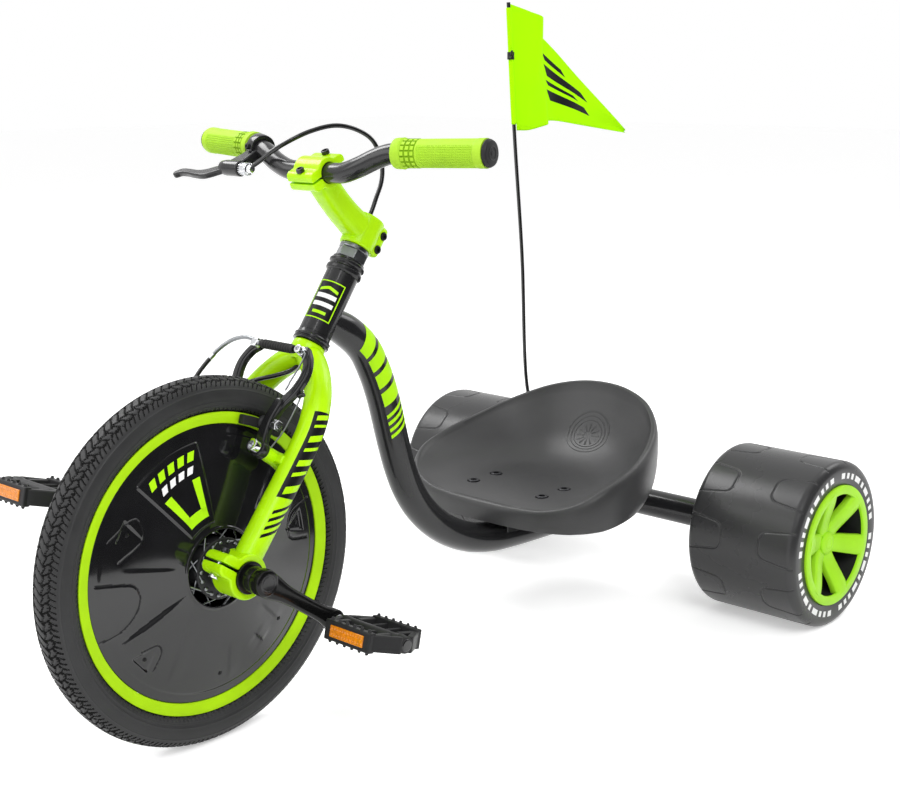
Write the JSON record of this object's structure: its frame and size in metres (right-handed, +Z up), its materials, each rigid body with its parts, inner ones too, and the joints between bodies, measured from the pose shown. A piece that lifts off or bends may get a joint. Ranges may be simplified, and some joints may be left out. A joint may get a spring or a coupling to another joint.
{
  "type": "drift trike",
  "caption": "Low child's drift trike: bent tube frame, big pedalled front wheel, bucket seat, wide slick rear rollers, hand brake and safety flag.",
  "frame": {"origin": "on the floor, under the middle of the bounding box", "axes": "+X points forward to the front wheel, +Y to the rider's left, +Z up"},
  "size_m": [1.1434, 0.6712, 0.7902],
  "materials": {
    "lime_paint": "bright gloss lime green powder coat",
    "black_paint": "gloss black powder coat",
    "black_plastic": "gloss black injection moulding",
    "pedal_plastic": "satin black moulding",
    "seat_plastic": "fine-grained satin black blow moulding",
    "roller_plastic": "dark grey blow moulding with raised tread panels",
    "hub_plastic": "lime green moulded wheel hub",
    "tyre_rubber": "matt black pneumatic tyre with a fine zig-zag tread",
    "grip_rubber": "soft lime green rubber with raised squares",
    "pad_rubber": "black brake rubber",
    "alloy": "satin silver alloy",
    "bright_steel": "bright plated steel",
    "dark_steel": "blackened steel fasteners",
    "flag_cloth": "thin fluorescent yellow-green nylon"
  },
  "bodies": {
    "frame": {"frame_head_tube": "black_paint", "headset_cup_lower": "black_paint", "headset_cup_upper": "black_paint", "frame_main_tube": "black_paint", "frame_axle_tube": "black_paint", "seat": "seat_plastic", "seat_plate": "black_paint", "seat_bolt_front_left": "dark_steel", "seat_bolt_front_right": "dark_steel", "seat_bolt_rear_left": "dark_steel", "seat_bolt_rear_right": "dark_steel", "rear_axle_bolt_left": "dark_steel", "rear_axle_bolt_right": "dark_steel", "flag_bracket": "black_paint", "flag_pole": "black_plastic", "flag": "flag_cloth"},
    "steering": {"headset_locknut": "bright_steel", "fork": "lime_paint", "stem": "lime_paint", "stem_faceplate": "lime_paint", "faceplate_bolt_upper": "dark_steel", "faceplate_bolt_lower": "dark_steel", "handlebar": "black_paint", "grip_left": "grip_rubber", "grip_right": "grip_rubber", "grip_cap_left": "black_plastic", "grip_cap_right": "black_plastic", "brake_lever_body": "alloy", "cable_housing_upper": "black_plastic", "cable_housing_lower": "black_plastic", "spindle_cup_left": "black_paint", "spindle_cup_right": "black_paint", "brake_pivot_bolt_left": "bright_steel", "brake_pivot_bolt_right": "bright_steel", "brake_boot": "pad_rubber"},
    "lever": {"brake_lever": "black_paint"},
    "arm_left": {"brake_arm_left": "black_paint", "brake_pad_left": "pad_rubber", "brake_wire": "bright_steel"},
    "arm_right": {"brake_arm_right": "black_paint", "brake_pad_right": "pad_rubber", "brake_noodle": "alloy"},
    "wheel_front": {"front_tyre": "tyre_rubber", "front_rim": "lime_paint", "front_hub": "black_paint", "wheel_cover_left": "black_plastic", "wheel_cover_right": "black_plastic"},
    "crankset": {"crank_spindle": "dark_steel", "crank_arm_left": "black_paint", "crank_arm_right": "black_paint", "pedal_spindle_left": "bright_steel", "pedal_spindle_right": "bright_steel"},
    "foot_left": {"pedal_left": "pedal_plastic"},
    "foot_right": {"pedal_right": "pedal_plastic"},
    "wheel_rear_left": {"rear_roller_left": "roller_plastic", "rear_hub_left": "hub_plastic", "rear_hub_cap_left": "hub_plastic"},
    "wheel_rear_right": {"rear_roller_right": "roller_plastic", "rear_hub_right": "hub_plastic", "rear_hub_cap_right": "hub_plastic"}
  },
  "joints": [
    {"name": "steering_turn", "type": "hinge", "parent": "frame", "child": "steering", "pos_m": [0.18543, 0, 0.44924], "axis": [-0.5807, 0, 0.8141], "continuous": true},
    {"name": "front_wheel_spin", "type": "hinge", "parent": "steering", "child": "wheel_front", "pos_m": [0.37325, 0, 0.1985], "axis": [0, 1, 0], "continuous": true},
    {"name": "crank_spin", "type": "hinge", "parent": "steering", "child": "crankset", "pos_m": [0.37325, 0, 0.1985], "axis": [0, 1, 0], "continuous": true},
    {"name": "pedal_left_spin", "type": "hinge", "parent": "crankset", "child": "foot_left", "pos_m": [0.2837, 0.165, 0.13462], "axis": [0, 1, 0], "continuous": true},
    {"name": "pedal_right_spin", "type": "hinge", "parent": "crankset", "child": "foot_right", "pos_m": [0.4628, -0.165, 0.26238], "axis": [0, 1, 0], "continuous": true},
    {"name": "rear_wheel_left_spin", "type": "hinge", "parent": "frame", "child": "wheel_rear_left", "pos_m": [-0.37475, 0.255, 0.108], "axis": [0, 1, 0], "continuous": true},
    {"name": "rear_wheel_right_spin", "type": "hinge", "parent": "frame", "child": "wheel_rear_right", "pos_m": [-0.37475, -0.255, 0.108], "axis": [0, 1, 0], "continuous": true},
    {"name": "brake_lever_pull", "type": "hinge", "parent": "steering", "child": "lever", "pos_m": [0.22328, -0.122, 0.59586], "axis": [-0.5373, 0, -0.8434], "range_deg": [0, 20]},
    {"name": "brake_arm_left_close", "type": "hinge", "parent": "steering", "child": "arm_left", "pos_m": [0.32333, 0.04, 0.31791], "axis": [0.8141, 0, 0.5807], "range_deg": [0, 2.3]},
    {"name": "brake_arm_right_close", "type": "hinge", "parent": "steering", "child": "arm_right", "pos_m": [0.32333, -0.04, 0.31791], "axis": [-0.8141, 0, -0.5807], "range_deg": [0, 2.3]}
  ],
  "couplings": [
    {"joint": "brake_arm_left_close", "follows": "brake_lever_pull", "ratio": 0.115},
    {"joint": "brake_arm_right_close", "follows": "brake_lever_pull", "ratio": 0.115}
  ]
}
